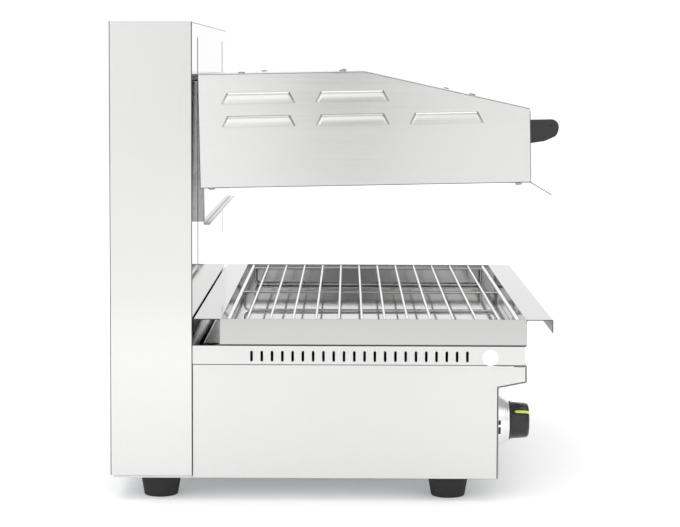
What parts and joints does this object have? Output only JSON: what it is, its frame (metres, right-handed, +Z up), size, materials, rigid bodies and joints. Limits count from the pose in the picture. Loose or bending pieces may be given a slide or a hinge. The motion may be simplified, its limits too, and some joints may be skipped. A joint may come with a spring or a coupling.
{
  "type": "lift-hood salamander grill",
  "caption": "Countertop electric cheese melter: louvred heating hood that slides on a rear column above a drip tray with wire grate, on a base with rotary controls and rubber feet.",
  "frame": {"origin": "on the bench, under the middle of the whole machine", "axes": "+Z up, the front with the controls towards -Y, +X to the right of a person who faces the front"},
  "size_m": [0.608, 0.5095, 0.53],
  "materials": {
    "stainless": "brushed stainless steel",
    "polished_stainless": "polished stainless steel",
    "galvanised": "galvanised sheet",
    "bright_steel": "ground bright steel",
    "rubber": "black moulded rubber",
    "spring_steel": "drawn spring wire",
    "white_plastic": "white moulded plastic",
    "acetal": "natural plastic",
    "ceramic": "steatite insulator",
    "fastener": "plain steel",
    "chrome": "bright chrome",
    "lamp_lens": "clear orange lens",
    "gland_plastic": "black nylon",
    "black_plastic": "black moulded plastic",
    "pointer_green": "yellow-green moulded plastic",
    "chromed_wire": "plated wire",
    "element_sheath": "oxidised heating tube",
    "blanket": "mineral fibre blanket",
    "aluminium_bar": "satin"
  },
  "bodies": {
    "frame": {"column_side_left": "stainless", "column_side_right": "stainless", "column_front_panel": "polished_stainless", "column_back_panel": "stainless", "column_top_cover": "stainless", "chassis_floor": "galvanised", "upper_cross_rail": "galvanised", "lower_cross_rail": "galvanised", "guide_rods": "bright_steel", "rod_collars": "bright_steel", "stop_buffers": "rubber", "lift_spring_left": "spring_steel", "lift_spring_right": "spring_steel", "base_side_left": "stainless", "base_side_right": "stainless", "front_panel": "stainless", "vent_frame": "stainless", "deck_plate": "stainless", "side_caps": "white_plastic", "feet": "rubber", "foot_screws": "fastener", "chassis_screws": "fastener", "back_panel_screws": "fastener", "dial_bezel_left": "chrome", "dial_bezel_right": "chrome", "pilot_lamp_left": "lamp_lens", "pilot_lamp_right": "lamp_lens", "energy_regulator_left": "acetal", "energy_regulator_right": "acetal", "terminal_block": "acetal", "cable_gland": "gland_plastic"},
    "hood": {"hood_side_left": "stainless", "hood_side_right": "stainless", "hood_top_cover": "stainless", "hood_front_panel": "stainless", "hood_rear_panel": "stainless", "hood_bottom_frame": "polished_stainless", "lift_plate": "stainless", "lift_arms": "galvanised", "carriage_tube": "galvanised", "slide_blocks": "acetal", "reflector": "polished_stainless", "heating_element_left": "element_sheath", "heating_element_right": "element_sheath", "element_hangers": "galvanised", "element_terminals": "ceramic", "insulation_blanket": "blanket", "handle_bar": "aluminium_bar", "handle_caps": "black_plastic", "handle_screws": "fastener", "visor": "stainless", "hood_screws": "fastener"},
    "knob_left": {"knob_left": "black_plastic", "knob_pointer_left": "pointer_green", "regulator_shaft_left": "bright_steel"},
    "knob_right": {"knob_right": "black_plastic", "knob_pointer_right": "pointer_green", "regulator_shaft_right": "bright_steel"},
    "tray": {"drip_tray": "stainless"},
    "grate": {"grate": "chromed_wire"}
  },
  "joints": [
    {"name": "hood_lift", "type": "slide", "parent": "frame", "child": "hood", "axis": [0, 0, 1], "range_m": [-0.05, 0.05], "stiffness_N_per_m": 500, "springref_m": 0.25, "deforming": ["lift_spring_left", "lift_spring_right"]},
    {"name": "knob_left_turn", "type": "hinge", "parent": "frame", "child": "knob_left", "pos_m": [-0.223, -0.17521, 0.0775], "axis": [0, 1, 0], "range_deg": [0, 270]},
    {"name": "knob_right_turn", "type": "hinge", "parent": "frame", "child": "knob_right", "pos_m": [0.223, -0.17521, 0.0775], "axis": [0, 1, 0], "range_deg": [0, 270]},
    {"name": "tray_slide", "type": "slide", "parent": "frame", "child": "tray", "axis": [0, -1, 0], "range_m": [0, 0.2]},
    {"name": "grate_lift", "type": "slide", "parent": "tray", "child": "grate", "axis": [0, 0, 1], "range_m": [0, 0.04]}
  ]
}
